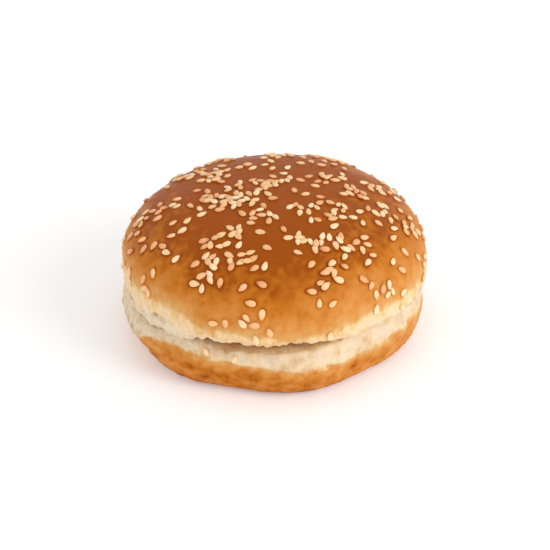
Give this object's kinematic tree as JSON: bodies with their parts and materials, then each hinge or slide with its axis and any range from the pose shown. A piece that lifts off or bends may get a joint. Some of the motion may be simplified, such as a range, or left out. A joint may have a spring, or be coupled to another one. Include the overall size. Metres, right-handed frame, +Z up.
{
  "type": "sesame burger bun",
  "caption": "Round burger bun cut across its width: a domed crown sprinkled with sesame seeds lies on a flat-based heel, to hold a filling between them.",
  "frame": {"origin": "middle of the heel's flat base", "axes": "+Z up through the crown, -Y towards the side that the picture shows, +X to that side's right"},
  "size_m": [0.102, 0.1032, 0.0518],
  "materials": {
    "crown_crust": null,
    "heel_crust": null,
    "sesame_seed": "satin ivory hulled sesame seed, lightly toasted; the seeds are fused to the crown and the heel"
  },
  "bodies": {
    "root": {"crown": "crown_crust", "heel": "heel_crust"}
  },
  "joints": []
}
